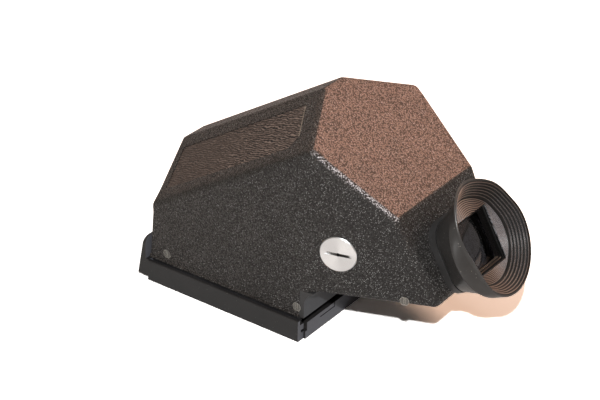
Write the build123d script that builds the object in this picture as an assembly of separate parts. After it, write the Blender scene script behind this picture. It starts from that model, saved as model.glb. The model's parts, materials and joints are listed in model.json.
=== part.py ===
from build123d import *
import math
import os

# Prism viewfinder with a tilted eyepiece, in millimetres. +Z is up, +Y points at the subject,
# the eyepiece looks out towards -Y and upwards, and the origin is the centre of the underside.

# ---------------------------------------------------------------- driving sizes
# Slide that carries the finder on a camera, and the cover that protects it
screen_opening = 56.0        # square opening over the focusing screen
slide_end_border = 7.0       # Y, slide beyond the screen opening
housing_side_border = 6.5    # X, housing beyond the screen opening
flange_proud = 0.2           # flange's edge beyond the housing's side
flange_thickness = 0.8
flange_reach = 1.6           # how far a flange stands out of its web
web_thickness = 0.7
web_height = 3.6             # from the flange's underside to the frame plate
frame_plate = 2.3            # thickness of the slide frame's plate
frame_side_inset = 0.6       # the plate's edge behind the housing's side
slide_clearance = 0.15       # all round a flange in its groove
web_clearance = 0.2          # beside a web, where it passes the cover's rear wall
pass_clearance = 0.3         # above the cover's rear wall and ledges

cover_floor = 1.6
cover_under_flange = 1.55    # material between the cover's floor and its groove
rail_wall = 1.95             # beside the groove
rail_skirt = 1.3             # thin outer skirt that hides the slide
skirt_gap = 0.5              # between the skirt's top and the housing
rear_wall_thickness = 1.6
rear_wall_overhang = 0.8     # rear wall behind the rails' ends
cover_edge_round = 0.4
lip_raise = 1.4              # underside of the front lip above the table
lip_height = 17.8
lip_side_inset = 0.6         # lip's ends inside the cover's sides
lip_foot_depth = 3.9         # depth of the lip at its foot
lip_top_depth = 0.8
lip_gap = 0.3                # between the lip and the bead of the front wall
lip_round = 3.0
tongue_length = 8.8          # spring tongue in the rear wall
tongue_height = 1.6
tongue_tip = 15.2            # X of the tongue's free end
slit_width = 0.45

# Housing, a hollow shell
wall = 2.2
foot_front_margin = 0.8      # front wall beyond the slide, where it meets the slide frame
foot_rear_margin = 0.6       # rear wall of the lower housing beyond the slide
heel_height = 11.2           # height of that rear wall
knee_height = 23.0           # front wall up to the start of the brow
front_lean = 1.85             # how far the front wall leans back over that height
brow_rise = 15.98            # length of the brow, square to the roof
roof_slope = 31.94            # degrees, ridge and shoulders
ridge_width = 12.4
rear_top_slope = 34.04       # degrees, top face behind the ridge
shoulder_overhang = 1.5      # rear end of the shoulders behind the rear wall
underside_slope = 4.88       # degrees, underside of the overhang
tail_taper = 15.75           # degrees, each side of the overhang in plan
edge_round = 3.0
front_round = 1.2            # edges of the front wall and the brow
knee_round = 12.0            # soft inside corner of the front wall
heel_round = 6.0             # inside corner between rear wall and underside
tail_round = 3.2             # lower rear corner of the overhang
waist_round = 40.0           # soft corner where the sides start to taper
base_bead = 0.3              # thin bead round the housing's lower edge
base_bead_height = 0.8

# Eyepiece
eye_tilt = 30.0              # degrees, axis above the horizontal
overhang_reach = 42.1        # from the rear wall to the centre of the eyepiece face
eye_face_z = 37.4
bezel_width = 28.0
bezel_height = 27.5
bezel_corner = 8.0
bezel_thickness = 2.8
bezel_drop = 0.1             # bezel centre below the face centre, along the face
neck_length = 5.8            # neck that the eyecup grips
neck_inset = 1.4             # neck inside the bezel's outline
window_width = 21.0
window_height = 21.0
window_rise = 0.8            # window centre above the bezel centre
window_corner = 1.0
lens_clearance = 0.05
spigot_clearance = 0.1       # round the bezel's spigot in the housing's wall
stop_lip = 1.0               # inner lip that the lenses rest on
stop_thickness = 1.2
spigot_wall = 1.0            # beside the lenses, where the bezel stands in the housing
field_lens_edge = 2.2
field_lens_radius = 60.0
spacer_thickness = 1.4
eye_lens_edge = 2.0
eye_lens_radius = 42.0
retainer_thickness = 2.2
retainer_rim = 1.3

# Eyecup, rubber
cup_fit = 0.3                # around the neck and off the bezel
cup_rim_radius = 21.3
cup_rim_rise = 0.9           # rim centre above the bezel centre
cup_band_radius = 20.2
cup_band_depth = 4.0
cup_step = 0.8
cup_height = 16.3            # face to rim
cup_dish_depth = 6.6
cup_dish_radius = 20.0
cup_bowl_radius = 14.2
cup_rim_round = 0.9

# Accessory socket in the side, closed by a coin-slot plug
socket_reach = 11.9          # behind the rear wall
socket_z = 38.9
plug_head_radius = 6.88
plug_proud = 0.35
plug_gap = 0.22
plug_shank_radius = 4.95
plug_shank_length = 3.6
plug_thread_gap = 0.06
plug_slot_width = 1.1
plug_slot_depth = 0.9
plug_slot_radius = 15.0      # cutter that mills the slot
plug_chamfer = 0.3
plug_centre_radius = 0.7
washer_thickness = 0.5
washer_gap = 0.05
bush_collar_radius = 9.6
bush_collar_depth = 1.4
bush_wall = 1.1

# Leatherette panels in the two roof faces
panel_recess = 0.9
panel_thickness = 0.6
panel_side_gap = 0.15
panel_front_margin = 4.0
panel_rear_margin = 7.7
panel_ridge_margin = 5.8
panel_shoulder_margin = 6.4
panel_corner_cut = 5.0
panel_corner_round = 0.8

# Closing plate: rear wall of the foot and underside of the overhang
plate_wall = 1.8
plate_floor = 3.0
plate_gap = 0.1
corner_boss = 6.0
boss_clearance = 0.3         # between a corner boss and the prism seat

# Prism and what holds it
prism_side_inset = 0.5       # glass inside the screen opening's sides
prism_end_cover = 0.5        # glass beyond the screen opening's ends
prism_floor_z = 27.4
prism_roof_inset = 8.0       # the roof's rear end in front of the screen opening's end
prism_exit_half_width = 11.0
prism_exit_gap = 1.8         # exit face to the inside of the housing
seat_plate = 1.2
seat_border = 3.0            # seat inside the screen opening
seat_front_gap = 0.5
seat_pad_thickness = 0.6
seat_pad_width = 2.2
seat_pad_length = 40.0
seat_ear_length = 16.0
seat_ear_height = 9.6
seat_ear_gap = 0.4
seat_ear_thickness = 1.2
clamp_width = 14.0
clamp_thickness = 1.0
clamp_pad_thickness = 0.8
clamp_pad_inset = 1.0        # pad's ends inside the strap's edges
clamp_leg_gap = 1.2          # strap's legs above the seat plate
clamp_pad_inner = 7.0
clamp_pad_outer = 19.0
tail_pad_length = 8.0
tail_pad_inner = 5.0
tail_pad_outer = 12.0
tail_pad_reach = 28.4        # tail pad's far end behind the rear wall
mask_thickness = 0.6
mask_rim = 0.8               # mask's lower bar, above the closing plate's floor

# Screws
side_screw_z = 13.0
side_screw_front_inset = 8.3  # behind the front wall's foot
side_screw_rear_inset = 3.1  # in front of the rear wall
tail_screw_reach = 35.7      # behind the rear wall
tail_screw_rise = 1.85       # above the overhang's underside
screw_head_radius = 1.7
screw_head_depth = 1.0
screw_shank_radius = 1.0
screw_slot_width = 0.5
screw_slot_depth = 0.45
screw_clearance = 0.1
thread_clearance = 0.04
side_screw_length = 4.6
side_screw_sink = 0.15        # head below the housing's surface
hole_depth_spare = 0.3       # blind hole beyond a screw's tip
lug_length = 6.0
lug_thickness = 2.6
lug_height = 6.6
seat_screw_x = 19.0
seat_screw_inset = 3.0       # from the opening in the slide frame to the screw
seat_screw_length = 2.2
clamp_screw_z = 15.0
eye_screw_radius = 0.7
eye_screw_head_radius = 1.3
eye_screw_head_depth = 0.8
eye_screw_length = 3.6
eye_screw_inset = 1.1
eye_screw_slot_width = 0.4
eye_screw_slot_depth = 0.3

# ---------------------------------------------------------------- places worked out from the sizes
half_opening = screen_opening / 2
half_slide = half_opening + slide_end_border
half_width = half_opening + housing_side_border
flange_edge = half_width + flange_proud
far = 4 * half_slide         # longer than anything it has to cut or cross
front_foot_y = half_slide + foot_front_margin
heel_y = -half_slide - foot_rear_margin
eye_face_y = heel_y - overhang_reach
socket_y = heel_y - socket_reach
web_outer = flange_edge - flange_reach
web_inner = web_outer - web_thickness
flange_z = cover_floor + cover_under_flange + slide_clearance
plate_z = flange_z + web_height
base_z = plate_z + frame_plate
pass_z = plate_z - pass_clearance
cover_half = flange_edge + slide_clearance + rail_wall
rail_inner = web_outer + slide_clearance
rail_top = base_z - skirt_gap

slope = math.radians(roof_slope)
along_roof = (-math.cos(slope), math.sin(slope))
knee = (front_foot_y - front_lean, base_z + knee_height)
brow = (knee[0] + brow_rise * math.sin(slope), knee[1] + brow_rise * math.cos(slope))
rear_fall = math.tan(math.radians(rear_top_slope))
shoulder_drop = brow[1] + (brow[0] - knee[0]) * math.tan(slope) - knee[1]
shoulder_end_y = heel_y - shoulder_overhang
shoulder_rear = (shoulder_end_y, knee[1] + (knee[0] - shoulder_end_y) * math.tan(slope))
peak_run = brow[1] + brow[0] * math.tan(slope) - shoulder_rear[1] + shoulder_end_y * rear_fall
peak_y = peak_run / (math.tan(slope) + rear_fall)
peak = (peak_y, brow[1] + (brow[0] - peak_y) * math.tan(slope))
heel = (heel_y, base_z + heel_height)
half_ridge = ridge_width / 2

tilt = math.radians(eye_tilt)
eye_out = Vector(0, -math.cos(tilt), math.sin(tilt))
eye_up = Vector(0, math.sin(tilt), math.cos(tilt))
eye_face = Vector(0, eye_face_y, eye_face_z)
bezel_centre = eye_face - eye_up * bezel_drop
window_centre = bezel_centre + eye_up * window_rise
rim_centre = bezel_centre + eye_up * cup_rim_rise

taper = math.radians(tail_taper)
side_out = Vector(-math.cos(taper), -math.sin(taper), 0)


def side_x(y):
    """Half width of the housing at a given y."""
    return half_width - max(0.0, heel_y - y) * math.tan(taper)


def underside_z(y):
    """Height of the overhang's underside at a given y."""
    return heel[1] + (heel_y - y) * math.tan(math.radians(underside_slope))


socket_point = Vector(-side_x(socket_y), socket_y, socket_z)


def meet_face(point, angle):
    """Where a line from point, falling to the rear at angle, meets the plane of the eyepiece face."""
    fall = math.tan(math.radians(angle))
    lean = math.tan(tilt)
    level = point[1] - fall * (point[0] - eye_face_y) - fall * lean * eye_face_z
    z = level / (1 - fall * lean)
    return (eye_face_y + (z - eye_face_z) * lean, z)


rear_brow = meet_face(peak, rear_top_slope)
tail = meet_face(heel, -underside_slope)


# ---------------------------------------------------------------- helpers
overrun = 1.0                # how far a cutter passes the face it opens


def eye_plane(distance, centre=bezel_centre):
    """Plane square to the eyepiece axis, at a distance outside the eyepiece face."""
    return Plane(origin=centre + eye_out * distance, x_dir=(1, 0, 0), z_dir=eye_out)


def yz_prism(points, half):
    """Solid with an outline in the YZ plane, reaching half to each side of it."""
    outline = make_face(Plane.YZ * Polyline(*points, close=True))
    return extrude(outline, amount=half, both=True)


def block(x0, x1, y0, y1, z0, z1):
    """Box between two corners."""
    return Pos((x0 + x1) / 2, (y0 + y1) / 2, (z0 + z1) / 2) * Box(x1 - x0, y1 - y0, z1 - z0)


def rod(plane, radius, start, end):
    """Cylinder along a plane's normal, between two distances from the plane."""
    return plane * Pos(0, 0, (start + end) / 2) * Cylinder(radius, abs(end - start))


def outermost(edges, start, direction):
    """The edge whose centre lies furthest from start in a direction."""
    return edges.sort_by(lambda edge: (edge.center() - start).dot(direction))[-1]


def on_both_sides(piece):
    """A piece and its mirror image across the middle of the finder."""
    return [piece, mirror(piece, about=Plane.YZ)]


def slotted_screw(plane, length, head_radius=screw_head_radius, head_depth=screw_head_depth,
                  shank_radius=screw_shank_radius):
    """Cheese-head screw whose head ends at the plane and whose shank runs against the plane's normal."""
    head = rod(plane, head_radius, -head_depth, 0)
    head -= plane * Box(2.2 * head_radius, screw_slot_width, 2 * screw_slot_depth)
    return head + rod(plane, shank_radius, -head_depth - length, -head_depth)


def screw_hole(plane, length):
    """Counterbore and clearance hole that take a slotted screw."""
    sink = rod(plane, screw_head_radius + screw_clearance, -screw_head_depth, overrun)
    return sink + rod(plane, screw_shank_radius + screw_clearance, -screw_head_depth - length, 0)


def save(piece, name):
    """Write one node as a STEP file."""
    if isinstance(piece, (list, tuple, ShapeList)):
        piece = Compound(children=[solid for item in piece for solid in item.solids()])
    export_step(piece, f"parts/{name}.step")
    print(name, len(piece.solids()), round(piece.volume, 1))


# ---------------------------------------------------------------- screw places
def side_plane(y, z, sunk=side_screw_sink):
    """Plane on the left side of the housing, facing out, just under its surface."""
    if y >= heel_y:
        point, normal = Vector(-half_width, y, z), Vector(-1, 0, 0)
    else:
        point, normal = Vector(-side_x(y), y, z), side_out
    return Plane(origin=point - normal * sunk, x_dir=(0, 0, 1), z_dir=normal)


side_screw_front_y = front_foot_y - side_screw_front_inset
side_screw_rear_y = heel_y + side_screw_rear_inset
tail_screw_y = heel_y - tail_screw_reach
side_screw_planes = [side_plane(side_screw_front_y, side_screw_z),
                     side_plane(side_screw_rear_y, side_screw_z),
                     side_plane(tail_screw_y, underside_z(tail_screw_y) + tail_screw_rise)]


# ---------------------------------------------------------------- housing
def side_outline():
    """Outline of the housing seen from the side."""
    return [(front_foot_y, base_z), knee, brow, peak, rear_brow, tail, heel, (heel_y, base_z)]


def housing_block(inset):
    """The housing as one solid, with every wall moved inwards by inset."""
    return side_prism(inset) & plan_prism(inset) & roof_wedge(inset)


def side_prism(inset):
    """Side outline of the housing, run out sideways."""
    profile = make_face(Plane.YZ * Polyline(*side_outline(), close=True))
    if inset:
        profile = offset(profile, amount=-inset, kind=Kind.INTERSECTION)
    else:
        profile = fillet(nearest_corner(profile, knee), radius=knee_round)
        profile = fillet(nearest_corner(profile, heel), radius=heel_round)
        profile = fillet(nearest_corner(profile, tail), radius=tail_round)
    return extrude(profile, amount=2 * half_width, both=True)


def nearest_corner(profile, place):
    """The corner of an outline in the YZ plane that lies closest to a place."""
    return profile.vertices().sort_by(lambda corner: math.dist((corner.Y, corner.Z), place))[0]


def plan_prism(inset):
    """Plan outline of the housing, run out upwards."""
    end_x = half_width - (far + heel_y) * math.tan(taper)
    outline = Polyline((half_width, far), (half_width, heel_y), (end_x, -far),
                       (-end_x, -far), (-half_width, heel_y), (-half_width, far), close=True)
    plan = make_face(outline)
    if inset:
        plan = offset(plan, amount=-inset, kind=Kind.INTERSECTION)
    else:
        waist = [corner for corner in plan.vertices() if abs(corner.Y - heel_y) < 0.01]
        plan = fillet(waist, radius=waist_round)
    return extrude(plan, amount=far)


def roof_wedge(inset):
    """Everything under the ridge and the two roof faces."""
    fall = shoulder_drop / (half_width - half_ridge)
    face_drop = inset * math.hypot(1 / math.cos(slope), fall)
    ridge_drop = inset / math.cos(slope)
    reach = 2 * half_width
    narrow = half_ridge + (ridge_drop - face_drop) / fall
    run = 2 * half_slide
    z_front = brow[1] - run * math.tan(slope)
    y_front = brow[0] + run
    top = z_front - ridge_drop
    low = z_front - face_drop - fall * (reach - half_ridge)
    deep = low - 3 * far
    outline = Polyline((-reach, deep), (-reach, low), (-narrow, top), (narrow, top),
                       (reach, low), (reach, deep), close=True)
    section = make_face(Plane(origin=(0, y_front, 0), x_dir=(1, 0, 0), z_dir=(0, -1, 0)) * outline)
    direction = Vector(0, along_roof[0], along_roof[1])
    return extrude(section, amount=2 * far, dir=direction)


def rounded_block():
    """Outside of the housing, with its edges rounded."""
    solid = housing_block(0).solid()
    sharp = [edge for edge in solid.edges() if needs_round(solid, edge)]
    solid = solid.fillet(edge_round, [edge for edge in sharp if not on_front(edge)])
    front = [edge for edge in solid.edges() if on_front(edge) and needs_round(solid, edge)]
    return solid.fillet(front_round, front)


def on_front(edge):
    """True for an edge of the front wall or the brow."""
    start, end = edge.position_at(0), edge.position_at(1)
    return min(front_reach(start), front_reach(end)) > -front_round


def front_reach(point):
    """How far a point lies outside the front wall and the brow, measured along Y."""
    if point.Z < knee[1]:
        return point.Y - front_foot_y + front_lean * (point.Z - base_z) / knee_height
    return point.Y - knee[0] - (point.Z - knee[1]) * math.tan(slope)


def needs_round(solid, edge):
    """True for the sharp edges of the housing that aren't on its joint with the foot."""
    if edge.bounding_box().max.Z < base_z + 0.01:
        return False
    middle = edge.position_at(0.5)
    sides = [face for face in solid.faces() if face.distance_to(middle) < 0.001]
    if len(sides) != 2:
        return False
    return sides[0].normal_at(middle).get_angle(sides[1].normal_at(middle)) > 5


def closing_space(gap):
    """Space of the closing plate: a wall behind the foot and a floor under the overhang."""
    front = heel_y + plate_wall + gap
    inner_top = underside_z(heel_y) + plate_floor + gap
    end = tail[0] + wall
    upright = block(-half_width, half_width, heel_y - heel_round, front, base_z, heel[1])
    rise = math.tan(math.radians(underside_slope)) * (heel_y - end)
    floor = yz_prism([(front, base_z), (front, inner_top), (heel_y, inner_top),
                      (end, inner_top + rise), (end, base_z)], half_width)
    floor &= extrude(make_face(inner_plan(wall - gap)), amount=far)
    return (upright + floor) & housing_end_cut(gap)


def inner_plan(inset):
    """Plan outline of the overhang between its side walls."""
    end = tail[0]
    root_x = half_width - inset
    end_x = side_x(end) - inset / math.cos(taper)
    return Polyline((root_x, 0), (root_x, heel_y), (end_x, end), (-end_x, end),
                    (-root_x, heel_y), (-root_x, 0), close=True)


def housing_end_cut(gap):
    """Everything on the inner side of the wall that carries the eyepiece."""
    face = eye_plane(-wall + gap, eye_face)
    return face * Pos(0, 0, -far) * Box(2 * far, 2 * far, 2 * far)


def roof_plane():
    """Plane of the left roof face: X runs rearwards up the shoulder, Y across towards the ridge."""
    corner = Vector(-half_width, knee[0], knee[1])
    along = Vector(0, along_roof[0], along_roof[1])
    ridge_point = Vector(-half_ridge, brow[0], brow[1])
    normal = (ridge_point - corner).cross(along).normalized()
    if normal.Z < 0:
        normal = normal * -1
    return Plane(origin=corner, x_dir=along, z_dir=normal)


def panel_outline(gap):
    """Outline of a leatherette panel on the roof plane, kept gap inside its recess."""
    plane = roof_plane()
    ridge_rear = plane.to_local_coords(Vector(-half_ridge, peak[0], peak[1]))
    shoulder = plane.to_local_coords(Vector(-half_width, shoulder_rear[0], shoulder_rear[1]))
    low = panel_shoulder_margin
    high = ridge_rear.Y - panel_ridge_margin
    lean = (ridge_rear.X - shoulder.X) / ridge_rear.Y

    def rear(y):
        return shoulder.X + lean * y - panel_rear_margin * math.hypot(1, lean)

    outline = Polyline((panel_front_margin, low), (rear(low), low), (rear(high), high),
                       (panel_front_margin, high), close=True)
    face = make_face(outline)
    corner = [v for v in face.vertices() if abs(v.Y - low) < 0.01 and v.X > rear(low) / 2]
    face = chamfer(corner, length=panel_corner_cut)
    face = fillet(face.vertices(), radius=panel_corner_round)
    return offset(face, amount=-gap) if gap else face


def panel_solid(gap, bottom, top):
    """Leatherette panel, or the recess for it, between two levels from the roof face."""
    plane = roof_plane()
    return extrude(plane * Pos(0, 0, bottom) * panel_outline(gap), amount=top - bottom, dir=plane.z_dir)


def housing():
    """Cast shell with brow, roof, overhang and eyepiece wall, open where the closing plate goes."""
    shell = rounded_block()
    bead = block(-half_width - base_bead, half_width + base_bead, heel_y + plate_wall,
                 front_foot_y + base_bead, base_z, base_z + base_bead_height)
    bead = fillet(bead.edges().filter_by(Axis.Z).group_by(Axis.Y)[-1], radius=front_round)
    shell = shell + bead - housing_block(wall)
    shell -= block(-half_width + wall, half_width - wall, heel_y + plate_wall, front_foot_y - wall,
                   base_z - overrun, base_z + heel_height)
    shell -= closing_space(plate_gap)
    shell -= bezel_spigot(spigot_clearance)
    for piece in on_both_sides(panel_solid(0, -panel_recess, 2 * overrun)):
        shell -= piece
    shell -= rod(socket_face(), plug_head_radius + plug_gap, -3 * wall, overrun)
    for plane in side_screw_planes:
        for hole in on_both_sides(screw_hole(plane, 2 * side_screw_length)):
            shell -= hole
    for plane in eyepiece_screw_planes():
        shell -= rod(plane, eye_screw_radius + thread_clearance, -2 * wall, overrun)
    return shell.solid()


def leatherette():
    """Left leatherette panel."""
    return panel_solid(panel_side_gap, -panel_recess, -panel_recess + panel_thickness)


def closing_plate():
    """Rear wall of the foot and floor of the overhang in one casting, with bosses for the side screws."""
    plate = housing_block(0) & closing_space(0)
    inside = half_width - wall - plate_gap
    boss_y = side_screw_rear_y + corner_boss / 2
    boss = block(-inside, -inside + corner_boss, heel_y + plate_wall, boss_y,
                 base_z, side_screw_z + corner_boss / 2)
    for piece in on_both_sides(boss):
        plate += piece
    for plane in side_screw_planes[1:]:
        depth = screw_head_depth + side_screw_length + hole_depth_spare
        hole = rod(plane, screw_shank_radius + thread_clearance, -depth, 0)
        hole += rod(plane, screw_head_radius + screw_clearance, -screw_head_depth, overrun)
        for piece in on_both_sides(hole):
            plate -= piece
    return plate


# ---------------------------------------------------------------- slide and cover
def slide_frame():
    """Metal frame under the housing, with a web and an outward flange along each side."""
    plate_half = half_width - frame_side_inset
    front = half_slide - 2 * slide_clearance
    rear_edge = -half_slide + rear_wall_thickness
    frame = block(-plate_half, plate_half, rear_edge, front, plate_z, base_z)
    frame -= Pos(0, 0, base_z) * Box(screen_opening, screen_opening, 4 * frame_plate)
    web = block(web_inner, web_outer, rear_edge, front, flange_z, plate_z)
    web += block(web_inner, flange_edge, rear_edge, front, flange_z, flange_z + flange_thickness)
    inside = half_width - wall - plate_gap
    lug = block(inside - lug_thickness, inside, side_screw_front_y - lug_length / 2,
                side_screw_front_y + lug_length / 2, base_z, base_z + lug_height)
    for piece in on_both_sides(web) + on_both_sides(lug):
        frame += piece
    depth = screw_head_depth + side_screw_length + hole_depth_spare
    for hole in on_both_sides(rod(side_screw_planes[0], screw_shank_radius + thread_clearance, -depth, 0)):
        frame -= hole
    for x, y in seat_screw_places():
        frame -= Pos(x, y, base_z) * Cylinder(screw_shank_radius + thread_clearance, 4 * frame_plate)
    return frame


def bottom_cover():
    """Moulded cover that slides on from the front: floor, grooved rails, rear wall, front lip."""
    rear = -half_slide
    floor = block(-cover_half, cover_half, rear, half_slide, 0, cover_floor)
    rail = block(rail_inner, cover_half, rear, half_slide, 0, pass_z)
    rail += block(cover_half - rail_skirt, cover_half, rear, half_slide, 0, rail_top)
    groove_top = flange_z + flange_thickness + slide_clearance
    rail -= block(0, flange_edge + slide_clearance, rear - overrun, half_slide + overrun,
                  flange_z - slide_clearance, groove_top)
    outer_edges = rail.edges().filter_by(Axis.Y).sort_by(lambda edge: edge.center().X)
    rail = fillet([edge for edge in outer_edges if edge.center().X > cover_half - 0.01],
                  radius=cover_edge_round)
    cover = floor & block(-rail_inner, rail_inner, rear, half_slide, 0, cover_floor)
    for piece in on_both_sides(rail):
        cover += piece
    cover += rear_wall_block() + front_lip()
    for piece in on_both_sides(tongue_slit()):
        cover -= piece
    return cover.solid()


def rear_wall_block():
    """Rear wall of the cover, with the sill that joins it to the rails."""
    back = -half_slide - rear_wall_overhang
    front = back + rear_wall_thickness
    wall_half = web_inner - web_clearance
    upright = block(-wall_half, wall_half, back, front, 0, pass_z)
    return upright + block(-rail_inner, rail_inner, back, front, 0, flange_z - slide_clearance)


def tongue_slit():
    """L-shaped slit that frees a spring tongue in the rear wall."""
    behind = -half_slide - rear_wall_overhang - overrun
    before = behind + rear_wall_thickness + 2 * overrun
    low = pass_z - tongue_height
    level = block(tongue_tip, tongue_tip + tongue_length, behind, before, low - slit_width, low)
    rise = block(tongue_tip - slit_width, tongue_tip, behind, before, low - slit_width, pass_z + overrun)
    return level + rise


def front_lip():
    """Wedge-shaped lip at the front: stop for the slide and grip for the finger."""
    back = front_foot_y + base_bead + lip_gap
    foot = back + lip_foot_depth
    outline = [(half_slide, lip_raise), (foot, lip_raise), (back + lip_top_depth, lip_height),
               (back, lip_height), (back, rail_top), (half_slide, rail_top)]
    lip = yz_prism(outline, cover_half - lip_side_inset)
    top_corners = lip.edges().filter_by(Axis.Y).group_by(Axis.Z)[-1]
    return fillet(top_corners, radius=lip_round)


# ---------------------------------------------------------------- prism and its seat
def fold_point():
    """Where the eyepiece axis meets the prism's floor."""
    run = (window_centre.Z - prism_floor_z) / math.tan(tilt)
    return (window_centre.Y + run, prism_floor_z)


def prism_ridge_z(y):
    """Height of the glass roof's ridge: light from the screen's centre turns here towards the floor."""
    centre_z = prism_floor_z + abs(fold_point()[0]) * math.tan(tilt)
    return centre_z - y * math.tan(tilt)


seat_z = base_z + seat_plate
prism_z = seat_z + seat_pad_thickness
prism_half_width = half_opening - prism_side_inset
prism_half_length = half_opening + prism_end_cover
prism_ridge_rear = half_opening - prism_roof_inset


def prism_outline():
    """Side outline of the glass."""
    rear = -prism_ridge_rear
    exit_plane = eye_plane(-wall - prism_exit_gap, eye_face)
    lean = math.tan(tilt)
    foot_y = exit_plane.origin.Y + (prism_floor_z - exit_plane.origin.Z) * lean
    top_run = prism_ridge_z(rear) - exit_plane.origin.Z + (exit_plane.origin.Y - rear) * lean
    top_z = exit_plane.origin.Z + top_run / (1 - lean * lean)
    top_y = exit_plane.origin.Y + (top_z - exit_plane.origin.Z) * lean
    return [(prism_half_length, prism_z), (prism_half_length, prism_ridge_z(prism_half_length)),
            (rear, prism_ridge_z(rear)), (top_y, top_z), (foot_y, prism_floor_z),
            (-prism_half_length, prism_floor_z), (-prism_half_length, prism_z)]


def glass_wedge(cover, half, low):
    """Everything under a right-angled roof, cover outside the glass and half wide on each side."""
    fall = 1 / math.cos(tilt)
    y = prism_half_length + 2 * half_slide
    top = prism_ridge_z(y) + cover * math.sqrt(2) / math.cos(tilt)
    outline = Polyline((-half, low - far), (-half, top - fall * half), (0, top),
                       (half, top - fall * half), (half, low - far), close=True)
    section = make_face(Plane(origin=(0, y, 0), x_dir=(1, 0, 0), z_dir=(0, -1, 0)) * outline)
    return extrude(section, amount=2 * far, dir=Vector(0, -math.cos(tilt), math.sin(tilt)))


def roof_prism():
    """Roof prism: up from the screen, two roof reflections, one at the floor, out to the eyepiece."""
    glass = yz_prism(prism_outline(), prism_half_width) & glass_wedge(0, prism_half_width, prism_z)
    exit_y = prism_outline()[4][0]
    plan = Polyline((prism_half_width, prism_half_length), (prism_half_width, -half_opening),
                    (prism_exit_half_width, exit_y), (-prism_exit_half_width, exit_y),
                    (-prism_half_width, -half_opening), (-prism_half_width, prism_half_length),
                    close=True)
    return (glass & extrude(make_face(plan), amount=far)).solid()


def seat_screw_places():
    """Centres of the screws that hold the prism seat on the slide frame."""
    y = half_opening + seat_screw_inset
    return [(x, sign * y) for sign in (1, -1) for x in (-seat_screw_x, seat_screw_x)]


def seat_ear_x():
    """Inner face of the seat's ears beside the glass."""
    return prism_half_width + seat_ear_gap


def prism_seat():
    """Blackened plate under the glass, with a square opening and an ear on each side."""
    outer = seat_ear_x() + seat_ear_thickness
    reach = front_foot_y - wall - seat_front_gap
    seat = block(-outer, outer, -reach, reach, base_z, seat_z)
    corner = corner_boss - (half_width - wall - outer) + plate_gap + boss_clearance
    opening = screen_opening - 2 * seat_border
    seat -= Pos(0, 0, seat_z) * Box(opening, opening, 4 * seat_plate)
    notch = block(outer - corner, outer + overrun, -reach - overrun,
                  side_screw_rear_y + corner_boss / 2 + boss_clearance,
                  base_z - overrun, seat_z + overrun)
    for piece in on_both_sides(notch):
        seat -= piece
    ear = block(outer - seat_ear_thickness, outer, -seat_ear_length / 2, seat_ear_length / 2,
                base_z, seat_z + seat_ear_height)
    for piece in on_both_sides(ear):
        seat += piece
    for x, y in seat_screw_places():
        seat -= Pos(x, y, seat_z) * Cylinder(screw_shank_radius + screw_clearance, 4 * seat_plate)
    return seat - clamp_screw_bore(screw_shank_radius + thread_clearance)


def clamp_screw_bore(radius):
    """Hole for the two clamp screws, right through along X."""
    return Pos(0, 0, clamp_screw_z) * Rot(0, 90, 0) * Cylinder(radius, far)


def seat_pads():
    """Cork strips between the seat and the glass, and wedges under its tail."""
    inner = prism_half_width - seat_pad_width
    strip = block(inner, prism_half_width, -seat_pad_length / 2, seat_pad_length / 2, seat_z, prism_z)
    y0 = heel_y - tail_pad_reach
    y1 = y0 + tail_pad_length
    low0 = underside_z(y0) + plate_floor
    low1 = underside_z(y1) + plate_floor
    outline = [(y0, low0), (y1, low1), (y1, prism_floor_z), (y0, prism_floor_z)]
    wedge = yz_prism(outline, tail_pad_outer)
    wedge -= block(-tail_pad_inner, tail_pad_inner, y0 - overrun, y1 + overrun, 0, far)
    return on_both_sides(strip) + list(wedge.solids())


def prism_clamp():
    """Sheet strap over the glass roof, with a leg down each side to the seat's ears."""
    leg = seat_ear_x() + seat_ear_thickness
    outside = glass_wedge(clamp_pad_thickness + clamp_thickness, leg + clamp_thickness, prism_z)
    inside = glass_wedge(clamp_pad_thickness, leg, prism_z)
    strip = block(-half_width, half_width, -clamp_width / 2, clamp_width / 2,
                  seat_z + clamp_leg_gap, far)
    return (outside & strip) - inside - clamp_screw_bore(screw_shank_radius + screw_clearance)


def clamp_pads():
    """Rubber strips between the strap and the two roof faces."""
    layer = glass_wedge(clamp_pad_thickness, half_width, prism_z) - glass_wedge(0, half_width, prism_z)
    strip = block(clamp_pad_inner, clamp_pad_outer, -clamp_width / 2 + clamp_pad_inset,
                  clamp_width / 2 - clamp_pad_inset,
                  prism_z, far)
    return on_both_sides(layer & strip)


def clamp_screws():
    """Two screws that fasten the strap's legs to the seat's ears."""
    outside = seat_ear_x() + seat_ear_thickness + clamp_thickness
    plane = Plane(origin=(-outside - screw_head_depth, 0, clamp_screw_z), x_dir=(0, 0, 1), z_dir=(-1, 0, 0))
    reach = clamp_thickness + seat_ear_thickness + seat_ear_gap / 2
    return on_both_sides(slotted_screw(plane, reach))


def seat_screws():
    """Four screws that fasten the prism seat to the slide frame."""
    screws = []
    for x, y in seat_screw_places():
        plane = Plane(origin=(x, y, seat_z + screw_head_depth), z_dir=(0, 0, 1))
        screws.append(slotted_screw(plane, seat_screw_length))
    return screws


def side_screws():
    """Six screws through the housing's sides into the slide frame and the closing plate."""
    return [screw for plane in side_screw_planes
            for screw in on_both_sides(slotted_screw(plane, side_screw_length))]


# ---------------------------------------------------------------- eyepiece
def rounded_bar(width, height, corner, start, end, centre=bezel_centre):
    """Bar along the eyepiece axis with a rounded rectangular section."""
    section = eye_plane(start, centre) * RectangleRounded(width, height, corner)
    return extrude(section, amount=end - start, dir=eye_out)


def window_bar(grow, start, end):
    """Bar with the eyepiece window's outline, grown all round."""
    return rounded_bar(window_width + 2 * grow, window_height + 2 * grow, window_corner,
                       start, end, window_centre)


def bezel_spigot(gap):
    """Part of the bezel that stands in the housing's eyepiece wall."""
    return window_bar(spigot_wall + gap, -wall - gap, gap)


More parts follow.
